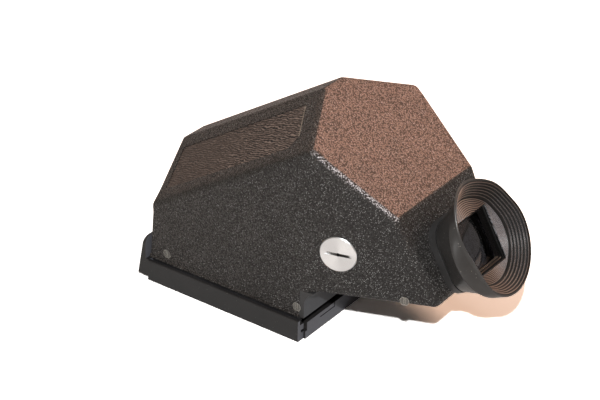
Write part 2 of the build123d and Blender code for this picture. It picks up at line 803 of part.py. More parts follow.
stop_start = -wall + stop_thickness
field_lens_end = stop_start + field_lens_edge
spacer_end = field_lens_end + spacer_thickness
eye_lens_end = spacer_end + eye_lens_edge
neck_end = bezel_thickness + neck_length


def eyepiece_bezel():
    """Metal bezel on the housing: spigot, flange and the neck that the eyecup grips."""
    bezel = rounded_bar(bezel_width, bezel_height, bezel_corner, 0, bezel_thickness)
    bezel += rounded_bar(bezel_width - 2 * neck_inset, bezel_height - 2 * neck_inset,
                         bezel_corner - neck_inset, bezel_thickness, neck_end)
    bezel += bezel_spigot(0)
    bezel -= window_bar(0, stop_start, neck_end + overrun)
    bezel -= window_bar(-stop_lip, -wall - overrun, stop_start + overrun)
    screw_depth = eye_screw_length - wall + hole_depth_spare
    for plane in eyepiece_screw_planes():
        bezel -= rod(plane, eye_screw_radius + thread_clearance, -overrun, screw_depth)
    return bezel


def eyepiece_screw_planes():
    """Planes on the eyepiece face at the four bezel screws, facing out along the axis."""
    x = bezel_width / 2 - eye_screw_inset
    y = bezel_height / 2 - bezel_corner
    places = [(sx * x, sy * y) for sx in (-1, 1) for sy in (-1, 1)]
    return [Plane(origin=bezel_centre + Vector(px, 0, 0) + eye_up * py, x_dir=(1, 0, 0), z_dir=eye_out)
            for px, py in places]


def eyepiece_screws():
    """Four screws from inside the housing into the bezel."""
    screws = []
    for plane in eyepiece_screw_planes():
        inside = plane.offset(-wall)
        head = rod(inside, eye_screw_head_radius, -eye_screw_head_depth, 0)
        head -= inside * Pos(0, 0, -eye_screw_head_depth) * Box(
            4 * eye_screw_head_radius, eye_screw_slot_width, 2 * eye_screw_slot_depth)
        screws.append(head + rod(inside, eye_screw_radius, 0, eye_screw_length))
    return screws


def field_lens():
    """Inner eyepiece lens, resting on the bezel's lip, its curved face towards the prism."""
    blank = window_bar(-lens_clearance, stop_start, field_lens_end)
    hollow = window_centre + eye_out * (stop_start - field_lens_radius + field_lens_edge / 2)
    return blank - Pos(*hollow) * Sphere(field_lens_radius)


def sag(radius, distance):
    """Depth of a sphere's cap at a distance from its axis."""
    return radius - math.sqrt(radius ** 2 - distance ** 2)


eye_lens_bulge = sag(eye_lens_radius, math.hypot(window_width, window_height) / 2)


def eye_lens():
    """Outer eyepiece lens, cut square to the window, its curved face towards the eye."""
    top = eye_lens_end + eye_lens_bulge
    centre = window_centre + eye_out * (top - eye_lens_radius)
    return window_bar(-lens_clearance, spacer_end, top) & Pos(*centre) * Sphere(eye_lens_radius)


def lens_spacer():
    """Blackened frame between the two lenses."""
    return window_bar(-lens_clearance, field_lens_end, spacer_end) - window_bar(
        -retainer_rim, field_lens_end - overrun, spacer_end + overrun)


def lens_retainer():
    """Metal frame that keeps the lenses in, with a stepped inner edge."""
    inner_edge = window_width / 2 - retainer_rim
    start = eye_lens_end + eye_lens_bulge - sag(eye_lens_radius, inner_edge) + lens_clearance
    end = start + retainer_thickness
    frame = window_bar(-lens_clearance, start, end)
    frame -= window_bar(-retainer_rim, start - overrun, end + overrun)
    return frame - window_bar(-retainer_rim / 2, end - retainer_thickness / 3, end + overrun)


def mask_foot_z():
    """Lowest height of the exit mask, just above the closing plate's floor."""
    return underside_z(tail[0]) + plate_floor + plate_gap


def exit_mask():
    """Black mask on the prism's exit face."""
    start = -wall - prism_exit_gap
    mask = window_bar(stop_lip / 2, start, start + mask_thickness)
    mask &= block(-half_width, half_width, -far, 0, mask_foot_z(), far)
    opening = window_bar(-stop_lip, start - overrun, start + mask_thickness + overrun)
    return mask - (opening & block(-half_width, half_width, -far, 0, mask_foot_z() + mask_rim, far))


def eyecup():
    """Rubber eyecup: square foot round the bezel's neck, flaring to a round rim with a shallow dish."""
    foot = bezel_thickness + cup_fit
    band_back = cup_height - cup_band_depth
    neck = loft([eye_plane(foot) * RectangleRounded(bezel_width, bezel_height, bezel_corner),
                 eye_plane(band_back, rim_centre) * Circle(cup_band_radius - cup_step)])
    rim_plane = eye_plane(cup_height, rim_centre)
    band = loft([eye_plane(band_back, rim_centre) * Circle(cup_band_radius),
                 rim_plane * Circle(cup_rim_radius)])
    cup = neck + fillet(outermost(band.edges(), bezel_centre, eye_out), radius=cup_rim_round)
    bowl = eye_plane(cup_height - cup_dish_depth, rim_centre) * Circle(cup_bowl_radius)
    cup -= loft([bowl, rim_plane * Circle(cup_dish_radius)])
    inset = neck_inset - cup_fit
    cup -= rounded_bar(bezel_width - 2 * inset, bezel_height - 2 * inset, bezel_corner - inset,
                       foot - overrun, neck_end + cup_fit)
    return (cup - window_bar(0, foot, cup_height)).solid()


# ---------------------------------------------------------------- accessory socket
def socket_face():
    """Plane on the housing's side at the socket, facing out."""
    return Plane(origin=socket_point, x_dir=(0, 0, 1), z_dir=side_out)


washer_top = washer_thickness + washer_gap - wall
head_floor = washer_top + washer_gap


def socket_bush():
    """Threaded bush behind the housing's side, with a collar against the inside of the wall."""
    bush = rod(socket_face(), bush_collar_radius, -wall - bush_collar_depth, -wall)
    bush += rod(socket_face(), plug_shank_radius + bush_wall, -wall - plug_shank_length, -wall)
    return bush - rod(socket_face(), plug_shank_radius + plug_thread_gap, -wall - 2 * plug_shank_length, 0)


def plug_washer():
    """Sealing washer under the plug's head; it travels with the plug and doesn't turn."""
    ring = rod(socket_face(), plug_head_radius - washer_gap, washer_gap - wall, washer_top)
    return ring - rod(socket_face(), plug_shank_radius + plug_thread_gap, -2 * wall, 0)


def socket_plug():
    """Turned plug with a coin slot milled by a disc cutter."""
    head = rod(socket_face(), plug_head_radius, head_floor, plug_proud)
    circles = head.edges().filter_by(GeomType.CIRCLE)
    head = chamfer(outermost(circles, socket_point, side_out), length=plug_chamfer)
    plug = head + rod(socket_face(), plug_shank_radius, -wall - plug_shank_length, head_floor)
    lift = plug_proud - plug_slot_depth + plug_slot_radius
    cutter = Plane(origin=socket_point + side_out * lift, x_dir=(0, 1, 0), z_dir=(0, 0, 1))
    plug -= cutter * Cylinder(plug_slot_radius, plug_slot_width)
    return plug - rod(socket_face(), plug_centre_radius, plug_proud - 2 * plug_slot_depth, overrun)


# ---------------------------------------------------------------- all nodes
def build():
    """Every node of the finder by name."""
    left = leatherette()
    return {
        "housing": housing(),
        "leatherette_left": left,
        "leatherette_right": mirror(left, about=Plane.YZ),
        "closing_plate": closing_plate(),
        "slide_frame": slide_frame(),
        "side_screws": side_screws(),
        "bottom_cover": bottom_cover(),
        "roof_prism": roof_prism(),
        "prism_seat": prism_seat(),
        "seat_screws": seat_screws(),
        "seat_pads": seat_pads(),
        "prism_clamp": prism_clamp(),
        "clamp_pads": clamp_pads(),
        "clamp_screws": clamp_screws(),
        "exit_mask": exit_mask(),
        "eyepiece_bezel": eyepiece_bezel(),
        "eyepiece_screws": eyepiece_screws(),
        "field_lens": field_lens(),
        "lens_spacer": lens_spacer(),
        "eye_lens": eye_lens(),
        "lens_retainer": lens_retainer(),
        "eyecup": eyecup(),
        "socket_bush": socket_bush(),
        "plug_washer": plug_washer(),
        "socket_plug": socket_plug(),
    }


if __name__ == "__main__":
    os.makedirs("parts", exist_ok=True)
    for node, shape in build().items():
        save(shape, node)
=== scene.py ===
import json
import math

import bmesh
import bpy
from mathutils import Matrix, Vector, noise


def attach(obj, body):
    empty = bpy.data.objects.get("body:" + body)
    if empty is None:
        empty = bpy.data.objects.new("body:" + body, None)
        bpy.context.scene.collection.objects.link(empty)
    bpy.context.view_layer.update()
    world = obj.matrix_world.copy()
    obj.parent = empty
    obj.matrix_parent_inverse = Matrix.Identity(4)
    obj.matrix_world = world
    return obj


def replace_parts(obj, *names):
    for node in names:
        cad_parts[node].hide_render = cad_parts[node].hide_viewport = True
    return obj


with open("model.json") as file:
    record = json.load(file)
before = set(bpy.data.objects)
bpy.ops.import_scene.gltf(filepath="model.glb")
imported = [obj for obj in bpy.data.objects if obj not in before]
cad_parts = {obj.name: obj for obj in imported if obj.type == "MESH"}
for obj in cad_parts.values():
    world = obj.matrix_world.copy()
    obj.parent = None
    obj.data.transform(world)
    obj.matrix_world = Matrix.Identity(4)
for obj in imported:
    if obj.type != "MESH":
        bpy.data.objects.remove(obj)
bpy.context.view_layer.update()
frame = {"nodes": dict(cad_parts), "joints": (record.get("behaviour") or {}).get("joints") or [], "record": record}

# Prism viewfinder. Every length is in metres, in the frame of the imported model: +Z up, +Y towards the
# subject, the eyepiece looking out towards -Y and upwards, the coin-slot plug on the -X side.

MM = 0.001
joints = {joint["name"]: joint for joint in frame["joints"]}

RIGHT = Vector((1, 0, 0))
eye_out = Vector(joints["eyecup_pull"]["axis"]).normalized()
eye_up = RIGHT.cross(eye_out)
if eye_up.z < 0:
    eye_up.negate()
side_out = Vector(joints["plug_turn"]["axis"]).normalized()
plug_point = Vector(joints["plug_turn"]["pos_m"])
slot_reach = 5.9 * MM            # half length of the plug's coin slot
deep_in_glass = 3.5              # more glass surfaces than this on a ray's way: floor and world are painted dark there, as shade for the dark inside


# ---------------------------------------------------------------- reading the frame
def along(node, direction):
    """Lowest and highest place of a CAD node's surface along a direction."""
    places = [vertex.co.dot(direction) for vertex in frame["nodes"][node].data.vertices]
    return min(places), max(places)


def middle(node, direction):
    """Middle of a CAD node along a direction."""
    return sum(along(node, direction)) / 2


def half(node, direction):
    """Half of a CAD node's length along a direction."""
    low, high = along(node, direction)
    return (high - low) / 2


def far_corner(node, direction):
    """Point of a CAD node that lies furthest in a direction, in millimetres."""
    vertices = frame["nodes"][node].data.vertices
    return tuple(max(vertices, key=lambda v: v.co.dot(Vector(direction))).co / MM)


# ---------------------------------------------------------------- wiring node trees
class Wiring:
    """Adds nodes to one node tree. Inputs are given by socket name, as values or as other sockets."""

    def __init__(self, tree):
        self.tree = tree

    def node(self, kind, inputs=None, **settings):
        """Adds a node, sets its settings and feeds its inputs."""
        made = self.tree.nodes.new("ShaderNode" + kind)
        for name, value in settings.items():
            setattr(made, name, value)
        for name, value in (inputs or {}).items():
            self.feed(made.inputs[name], value)
        return made

    def feed(self, socket, value):
        """Links another socket to an input, or sets the input's value."""
        if isinstance(value, bpy.types.NodeSocket):
            self.tree.links.new(value, socket)
        else:
            socket.default_value = value

    def math(self, operation, *values, clamp=False):
        """Result of a sum on numbers."""
        made = self.node("Math", operation=operation, use_clamp=clamp)
        for socket, value in zip(made.inputs, values):
            self.feed(socket, value)
        return made.outputs[0]

    def vector(self, operation, *values):
        """Result of a sum on vectors: a number for a product, length or distance, else a vector."""
        made = self.node("VectorMath", operation=operation)
        for socket, value in zip([s for s in made.inputs if s.enabled], values):
            self.feed(socket, value)
        return made.outputs["Value" if operation in ("DOT_PRODUCT", "DISTANCE") else "Vector"]

    def scaled(self, vector, factor):
        """A vector times a number."""
        made = self.node("VectorMath", operation="SCALE")
        self.feed(made.inputs[0], vector)
        self.feed(made.inputs["Scale"], factor)
        return made.outputs[0]

    def part(self, vector, axis):
        """The X, Y or Z part of a vector."""
        return self.node("SeparateXYZ", {"Vector": vector}).outputs[axis]

    def remap(self, value, low, high, to_low=0.0, to_high=1.0, smooth=True):
        """A value moved from one range to another and kept inside it."""
        kind = "SMOOTHSTEP" if smooth else "LINEAR"
        made = self.node("MapRange", {"Value": value}, interpolation_type=kind)
        for name, place in (("From Min", low), ("From Max", high), ("To Min", to_low), ("To Max", to_high)):
            self.feed(made.inputs[name], place)
        return made.outputs["Result"]

    def mix(self, share, first, second):
        """A colour between two others."""
        made = self.node("Mix", data_type="RGBA")
        self.feed(made.inputs[0], share)
        self.feed(made.inputs[6], first)
        self.feed(made.inputs[7], second)
        return made.outputs[2]

    def place(self):
        """Place on the surface in millimetres."""
        return self.scaled(self.node("TexCoord").outputs["Object"], 1 / MM)

    def normal(self):
        """Direction that the surface faces."""
        return self.node("NewGeometry").outputs["Normal"]

    def noise(self, vector, scale, detail, roughness, distortion=0.0):
        """Random grain, 0 to 1."""
        return self.node("TexNoise", {"Vector": vector, "Scale": scale, "Detail": detail,
                                      "Roughness": roughness, "Distortion": distortion}).outputs["Fac"]


def colour(red, green, blue):
    """An opaque colour, in linear light."""
    return (red, green, blue, 1.0)


def make_group(name, inputs, outputs):
    """An empty shader group with named inputs and outputs. Returns its wiring and its input sockets."""
    tree = bpy.data.node_groups.new(name, "ShaderNodeTree")
    for label, default in inputs.items():
        kind = "NodeSocketVector" if isinstance(default, tuple) else "NodeSocketFloat"
        socket = tree.interface.new_socket(label, in_out="INPUT", socket_type=kind)
        socket.default_value = default
    for label in outputs:
        tree.interface.new_socket(label, in_out="OUTPUT", socket_type="NodeSocketFloat")
    given = tree.nodes.new("NodeGroupInput").outputs
    result = tree.nodes.new("NodeGroupOutput").inputs
    return Wiring(tree), given, result


# ---------------------------------------------------------------- effects that several finishes share
def grain_group():
    """Two sizes of random grain: a height and a soft mask."""
    w, given, result = make_group("grain", {"Size": 0.5, "Detail": 3.0}, ["Height", "Mask"])
    height = w.noise(w.place(), w.math("DIVIDE", 1.0, given["Size"]), given["Detail"], 0.6)
    w.feed(result["Height"], height)
    w.feed(result["Mask"], w.remap(height, 0.42, 0.62))
    return w.tree


def crinkle_group():
    """Wrinkled stove paint: rounded blisters with grooves between them, and masks for painted shade in the grooves
    and painted glints on the crests.
    """
    w, given, result = make_group("crinkle", {"Size": 0.55, "Spread": 0.5, "Share": 0.3},
                                  ["Height", "Groove Shade", "Painted Glint"])
    turned = {"Vector": w.place(), "Rotation": (0.65, 0.41, 0.93)}
    place = w.node("VectorRotate", turned, rotation_type="EULER_XYZ").outputs[0]
    bend = w.node("TexNoise", {"Vector": place, "Scale": 1.3, "Detail": 2.0}).outputs["Color"]
    bend = w.vector("SUBTRACT", bend, (0.5, 0.5, 0.5))
    where = w.vector("ADD", place, w.scaled(bend, given["Spread"]))
    scale = w.math("DIVIDE", 1.0, given["Size"])
    cells = w.node("TexVoronoi", {"Vector": where, "Scale": scale, "Randomness": 1.0}, feature="F1")
    fine = w.noise(where, w.math("MULTIPLY", scale, 2.1), detail=3.0, roughness=0.6)
    blister = w.remap(cells.outputs["Distance"], 0.75, 0.05)
    height = w.math("MULTIPLY_ADD", fine, 0.5, blister)
    w.feed(result["Height"], height)
    w.feed(result["Groove Shade"], w.remap(height, 0.75, 0.25))
    chance = w.node("SeparateColor", {"Color": cells.outputs["Color"]}).outputs[0]
    plain = w.math("SUBTRACT", 1.0, given["Share"])
    lucky = w.remap(chance, plain, w.math("ADD", plain, 0.3))
    w.feed(result["Painted Glint"], w.math("MULTIPLY", lucky, w.remap(height, 0.85, 1.2)))
    return w.tree


def dust_group():
    """Sparse specks of dust, as a mask."""
    w, given, result = make_group("dust", {"Size": 0.4, "Amount": 0.1}, ["Mask"])
    scale = w.math("DIVIDE", 0.5, given["Size"])
    specks = w.node("TexVoronoi", {"Vector": w.place(), "Scale": scale}, feature="F1")
    chance = w.node("SeparateColor", {"Color": specks.outputs["Color"]}).outputs[1]
    chosen = w.math("LESS_THAN", chance, given["Amount"])
    spot = w.remap(specks.outputs["Distance"], 0.28, 0.12)
    w.feed(result["Mask"], w.math("MULTIPLY", chosen, spot))
    return w.tree


def edge_group():
    """Wear on edges: a mask that is 1 where an edge is rubbed, broken up by grain."""
    w, given, result = make_group("edge wear", {"Width": 0.4, "Amount": 0.5}, ["Mask"])
    radius = w.math("MULTIPLY", given["Width"], MM)
    rounded = w.node("Bevel", {"Radius": radius}, samples=6).outputs["Normal"]
    turn = w.math("SUBTRACT", 1.0, w.vector("DOT_PRODUCT", rounded, w.normal()))
    edge = w.remap(turn, 0.05, 0.22)
    broken = w.noise(w.place(), 1.7, detail=4.0, roughness=0.7)
    limit = w.math("SUBTRACT", 1.0, given["Amount"])
    chips = w.remap(broken, limit, w.math("ADD", limit, 0.12))
    w.feed(result["Mask"], w.math("MULTIPLY", edge, chips))
    return w.tree


def line_mask_group():
    """A broken line from one place to another, as a mask: for a worn edge, a painted highlight or a painted shade.
    """
    w, given, result = make_group("line mask", {"Start": (0.0, 0.0, 0.0), "End": (0.0, 0.0, 1.0),
                                                "Width": 0.5, "Amount": 0.5}, ["Mask"])
    place = w.place()
    reach = w.vector("SUBTRACT", given["End"], given["Start"])
    offset = w.vector("SUBTRACT", place, given["Start"])
    whole = w.vector("DOT_PRODUCT", reach, reach)
    share = w.math("DIVIDE", w.vector("DOT_PRODUCT", offset, reach), whole, clamp=True)
    away = w.vector("DISTANCE", offset, w.scaled(reach, share))
    ragged = w.noise(place, 2.3, detail=3.0, roughness=0.7)
    away = w.math("MULTIPLY_ADD", w.math("SUBTRACT", ragged, 0.5), given["Width"], away)
    line = w.remap(away, given["Width"], 0.0)
    broken = w.noise(place, 0.8, detail=3.0, roughness=0.8)
    limit = w.math("SUBTRACT", 1.0, given["Amount"])
    w.feed(result["Mask"], w.math("MULTIPLY", line, w.remap(broken, limit, w.math("ADD", limit, 0.1))))
    return w.tree


def turning_group():
    """Tool marks of a lathe round an axis: height, and the distance from the axis."""
    w, given, result = make_group("turning", {"Centre": (0.0, 0.0, 0.0), "Axis": (0.0, 0.0, 1.0),
                                              "Pitch": 0.2}, ["Height", "Radius"])
    offset = w.vector("SUBTRACT", w.place(), given["Centre"])
    along_axis = w.vector("DOT_PRODUCT", offset, given["Axis"])
    radius = w.vector("DISTANCE", offset, w.scaled(given["Axis"], along_axis))
    turns = w.math("DIVIDE", radius, given["Pitch"])
    w.feed(result["Height"], w.math("PINGPONG", turns, 0.5))
    w.feed(result["Radius"], radius)
    return w.tree


def handling_group():
    """Broad soft patches left by hands, as a mask."""
    w, given, result = make_group("handling", {"Size": 12.0}, ["Mask"])
    patches = w.noise(w.place(), w.math("DIVIDE", 1.0, given["Size"]), 4.0, 0.6, distortion=0.6)
    w.feed(result["Mask"], w.remap(patches, 0.35, 0.68))
    return w.tree


def facing_group():
    """Where a surface faces a direction, in patches, as a mask."""
    w, given, result = make_group("faces_toward", {"Toward": (0.0, 0.0, 1.0), "Start": 0.3, "Full": 0.9}, ["Mask"])
    facing = w.remap(w.vector("DOT_PRODUCT", w.normal(), given["Toward"]), given["Start"], given["Full"])
    patches = w.noise(w.place(), 0.09, detail=4.0, roughness=0.55)
    w.feed(result["Mask"], w.math("MULTIPLY", facing, w.remap(patches, 0.2, 0.6, 0.75, 1.0)))
    return w.tree


groups = {tree.name: tree for tree in (grain_group(), crinkle_group(), dust_group(), edge_group(),
                                       line_mask_group(), turning_group(), handling_group(), facing_group())}


class Finish(Wiring):
    """A material with one Principled shader, whose sockets are fed by name."""

    def __init__(self, name, **fixed):
        self.material = bpy.data.materials.new(name)
        self.material.use_nodes = True
        super().__init__(self.material.node_tree)
        self.shader = self.tree.nodes["Principled BSDF"]
        self.set(**fixed)

    def set(self, **sockets):
        """Feeds the shader's sockets. An underscore stands for a space."""
        for name, value in sockets.items():
            self.feed(self.shader.inputs[name.replace("_", " ")], value)

    def group(self, name, inputs=None):
        """Outputs of a shared effect with this material's own values."""
        made = self.node("Group", node_tree=groups[name])
        for label, value in (inputs or {}).items():
            self.feed(made.inputs[label], value)
        return made.outputs

    def line(self, node, start, end, width, amount):
        """Mask of a broken line between the points of a CAD node furthest in two directions."""
        return self.group("line mask", {"Start": far_corner(node, start), "End": far_corner(node, end),
                                        "Width": width, "Amount": amount})["Mask"]

    def bump(self, height, distance):
        """Normals for a height of 1 that stands a number of millimetres proud."""
        return self.node("Bump", {"Height": height, "Distance": distance * MM}).outputs["Normal"]


# ---------------------------------------------------------------- finishes
def crinkle_paint():
    """Black crinkle paint: a painted warm sheen on the rear top, painted highlights along the ridge and the
    shoulder, painted glints on the crests, painted shade in the grooves and along the eave.
    """
    f = Finish("crinkle_paint", Specular_IOR_Level=0.4)
    # rearward: 0 at the front, 1 at the rear; the painted glints grow denser and the base darker towards the rear
    rearward = f.remap(f.part(f.place(), "Y"), 20.0, -70.0, smooth=False)
    share = f.remap(rearward, 0.0, 1.0, 0.30, 0.62)
    crinkle = f.group("crinkle", {"Size": 0.56, "Spread": 0.5, "Share": share})
    hands = f.group("handling", {"Size": 14.0})["Mask"]
    # painted warm sheen on the rear top, where the warm light falls
    faces_toward = f.group("faces_toward", {"Toward": (0.31, -0.25, 0.92), "Start": 0.84, "Full": 0.895})["Mask"]
    # painted highlight: a pale sheen along the ridge
    painted_ridge_sheen = f.group("faces_toward", {"Toward": (0.0, 0.529, 0.849), "Start": 0.955, "Full": 0.985})["Mask"]
    faces_toward = f.math("MULTIPLY", faces_toward, f.remap(f.part(f.place(), "Z"), 28.0, 36.0))
    # browner on faces that look up: dust, and painted warm light from above
    dust_and_warm_light = f.group("faces_toward", {"Start": 0.5, "Full": 0.8})["Mask"]
    front = f.mix(hands, colour(0.056, 0.050, 0.045), colour(0.072, 0.065, 0.059))
    rear = f.mix(hands, colour(0.020, 0.019, 0.018), colour(0.030, 0.029, 0.028))
    base = f.mix(rearward, front, rear)
    base = f.mix(f.math("MULTIPLY", dust_and_warm_light, 0.8), base, colour(0.095, 0.070, 0.056))
    base = f.mix(f.math("MULTIPLY", painted_ridge_sheen, 0.8), base, colour(0.26, 0.22, 0.205))
    base = f.mix(f.math("MULTIPLY", faces_toward, 0.92), base, colour(0.42, 0.25, 0.19))
    # painted shade in the crinkle's grooves, weaker on the rear top
    painted_groove_shade = f.math("MULTIPLY", crinkle["Groove Shade"], f.remap(faces_toward, 0.0, 1.0, 0.88, 0.78))
    base = f.mix(painted_groove_shade, base, colour(0.006, 0.005, 0.005))
    # painted glints on the blisters' crests, warmer on the rear top
    painted_glint_colour = f.mix(faces_toward, colour(0.46, 0.46, 0.45), colour(0.85, 0.72, 0.66))
    base = f.mix(f.math("MULTIPLY", crinkle["Painted Glint"], 0.6), base, painted_glint_colour)
    shoulder = (-0.75, -0.45, 1.0)
    # painted highlight along the rounded shoulder, on the crinkle's crests
    wear_and_highlight = f.line("housing", shoulder, (-0.45, -1.0, 0.85), 1.4, 0.72)
    wear_and_highlight = f.math("MULTIPLY", wear_and_highlight, f.remap(crinkle["Height"], 0.40, 0.75))
    base = f.mix(f.math("MULTIPLY", wear_and_highlight, 0.95), base, colour(0.72, 0.71, 0.75))
    # painted shade along the eave
    painted_eave_shade = f.line("housing", shoulder, (-1.0, 0.8, 0.6), 2.6, 0.72)
    base = f.mix(f.math("MULTIPLY", painted_eave_shade, 0.75), base, colour(0.010, 0.008, 0.005))
    edges = f.group("edge wear", {"Width": 0.5, "Amount": 0.36})["Mask"]
    base = f.mix(f.math("MULTIPLY", edges, 0.7), base, colour(0.36, 0.33, 0.28))
    f.set(Base_Color=base, Roughness=f.remap(crinkle["Height"], 0.3, 1.1, 0.6, 0.3),
          Normal=f.bump(crinkle["Height"], 0.3))
    return f.material


def leatherette():
    """Dark leatherette: crests rubbed paler with a painted highlight, brighter towards the rear; painted shade in
    the creases; a rubbed rear edge.
    """
    f = Finish("leatherette", Specular_IOR_Level=0.35)
    grain = f.group("grain", {"Size": 0.35, "Detail": 4.0})
    hands = f.group("handling", {"Size": 9.0})["Mask"]
    crest = f.node("Attribute", attribute_name="crest").outputs["Fac"]
    rearward = f.remap(f.part(f.place(), "Y"), 20.0, -10.0)
    base = f.mix(hands, colour(0.075, 0.053, 0.043), colour(0.095, 0.068, 0.055))
    # painted highlight on the crests, brighter towards the rear
    shine = f.mix(rearward, colour(0.165, 0.122, 0.10), colour(0.27, 0.20, 0.165))
    base = f.mix(f.remap(crest, 0.55, 0.95), base, shine)
    # painted shade in the creases, deeper towards the rear
    creases = f.math("MULTIPLY", f.remap(crest, 0.5, 0.1), f.remap(rearward, 0.0, 1.0, 0.55, 1.0))
    base = f.mix(creases, base, colour(0.008, 0.006, 0.006))
    base = f.mix(f.math("MULTIPLY", grain["Mask"], 0.3), base, colour(0.016, 0.013, 0.012))
    wear_and_highlight = f.line("leatherette_left", (1.0, -1.0, 0.5), (-0.1, -1.0, 0.5), 1.1, 0.95)
    base = f.mix(f.math("MULTIPLY", wear_and_highlight, 0.95), base, colour(0.68, 0.56, 0.43))
    f.set(Base_Color=base, Roughness=f.remap(grain["Height"], 0.3, 0.7, 0.42, 0.6),
          Normal=f.bump(grain["Height"], 0.05))
    return f.material


def satin_black(name, dark, pale, rough, wear, rear=None):
    """Smooth black finish with fine grain, handling marks and edges rubbed paler.

    A colour for faces that look to the rear may be given: a painted cool light on them.
    """
    f = Finish(name, Specular_IOR_Level=0.5)
    grain = f.group("grain", {"Size": 0.16, "Detail": 3.0})
    hands = f.group("handling", {"Size": 11.0})["Mask"]
    edges = f.group("edge wear", {"Width": 0.3, "Amount": wear})["Mask"]
    dust = f.group("dust", {"Size": 0.16, "Amount": 0.012})["Mask"]
    base = f.mix(hands, dark, pale)
    # painted cool light on faces that look to the rear
    if rear:
        base = f.mix(f.remap(f.part(f.normal(), "Y"), -0.90, -0.98), base, rear)
    base = f.mix(f.math("MULTIPLY", edges, 0.6), base, colour(0.30, 0.29, 0.28))
    base = f.mix(f.math("MULTIPLY", dust, 0.7), base, colour(0.5, 0.47, 0.42))
    wear_and_highlight = f.math("MULTIPLY_ADD", hands, 0.08, rough)
    f.set(Base_Color=base, Roughness=f.math("MULTIPLY_ADD", grain["Height"], 0.1, wear_and_highlight),
          Normal=f.bump(grain["Height"], 0.02))
    return f.material


def bronzed_frame():
    """Dark bronzed frame of the eye lens, with a painted warm reflection where it faces up."""
    f = Finish("retainer_metal", Metallic=0.8)
    grain = f.group("grain", {"Size": 0.12, "Detail": 4.0})
    # painted warm reflection where the frame faces up
    painted_warm_reflection = f.group("faces_toward", {"Toward": tuple(eye_up), "Start": 0.5, "Full": 0.9})["Mask"]
    shade = f.mix(grain["Mask"], colour(0.030, 0.028, 0.028), colour(0.018, 0.017, 0.017))
    shade = f.mix(f.math("MULTIPLY", painted_warm_reflection, 0.85), shade, colour(0.50, 0.39, 0.31))
    f.set(Base_Color=shade, Roughness=f.math("MULTIPLY_ADD", grain["Height"], 0.25, 0.18),
          Normal=f.bump(grain["Height"], 0.02))
    return f.material


def bare_metal(name, base, rough):
    """Bare metal with fine grain, darker where it is tarnished."""
    f = Finish(name, Metallic=1.0)
    grain = f.group("grain", {"Size": 0.12, "Detail": 4.0})
    hands = f.group("handling", {"Size": 3.0})["Mask"]
    dull = colour(*(0.55 * part for part in base))
    shade = f.mix(f.math("MULTIPLY", hands, 0.6), colour(*base), dull)
    f.set(Base_Color=shade, Roughness=f.math("MULTIPLY_ADD", grain["Height"], 0.25, rough),
          Normal=f.bump(grain["Height"], 0.02))
    return f.material


def screw_steel():
    """Blackened screws whose slots and rims are rubbed bright."""
    f = Finish("screw_steel")
    edges = f.group("edge wear", {"Width": 0.35, "Amount": 0.72})["Mask"]
    grain = f.group("grain", {"Size": 0.2, "Detail": 3.0})
    base = f.mix(edges, colour(0.13, 0.125, 0.115), colour(0.90, 0.88, 0.80))
    f.set(Base_Color=base, Metallic=f.remap(edges, 0.0, 1.0, 0.35, 0.9),
          Roughness=f.remap(grain["Height"], 0.3, 0.7, 0.35, 0.55), Normal=f.bump(grain["Height"], 0.04))
    return f.material


def turned_aluminium():
    """Face-turned aluminium: fine rings, a painted sheen that leaves opposite quarters darker, and painted shade
    in the coin slot.
    """
    f = Finish("turned_aluminium", Metallic=1.0)
    rings = f.group("turning", {"Centre": tuple(plug_point / MM), "Axis": tuple(side_out), "Pitch": 0.16})
    hands = f.group("handling", {"Size": 4.0})["Mask"]
    grain = f.group("grain", {"Size": 0.1, "Detail": 3.0})
    base = f.mix(f.math("MULTIPLY", hands, 0.25), colour(0.94, 0.98, 1.0), colour(0.74, 0.76, 0.77))
    # painted sheen: two opposite quarters darker
    offset = f.vector("SUBTRACT", f.place(), tuple(plug_point / MM))
    across = f.vector("NORMALIZE", f.vector("MULTIPLY", offset, (0.0, 1.0, 1.0)))
    sector = f.math("MULTIPLY", f.part(across, "Y"), f.part(across, "Z"))
    base = f.mix(f.remap(sector, 0.45, -0.5), colour(0.74, 0.77, 0.79), base)
    head_face = along("socket_plug", side_out)[1] / MM
    # painted shade in the coin slot, deeper in darker; the centre mark is the lathe's
    depth = f.math("SUBTRACT", head_face, f.vector("DOT_PRODUCT", f.place(), tuple(side_out)))
    inside = f.remap(rings["Radius"], slot_reach / MM, slot_reach / MM - 0.3)
    painted_slot_shade = f.math("MULTIPLY", f.remap(depth, 0.12, 0.5), inside)
    centre_mark = f.remap(rings["Radius"], 0.5, 0.3)
    base = f.mix(f.math("MAXIMUM", painted_slot_shade, centre_mark), base, colour(0.13, 0.125, 0.12))
    f.set(Base_Color=base, Roughness=f.math("MULTIPLY_ADD", grain["Height"], 0.15, 0.22),
          Normal=f.bump(rings["Height"], 0.018))
    return f.material


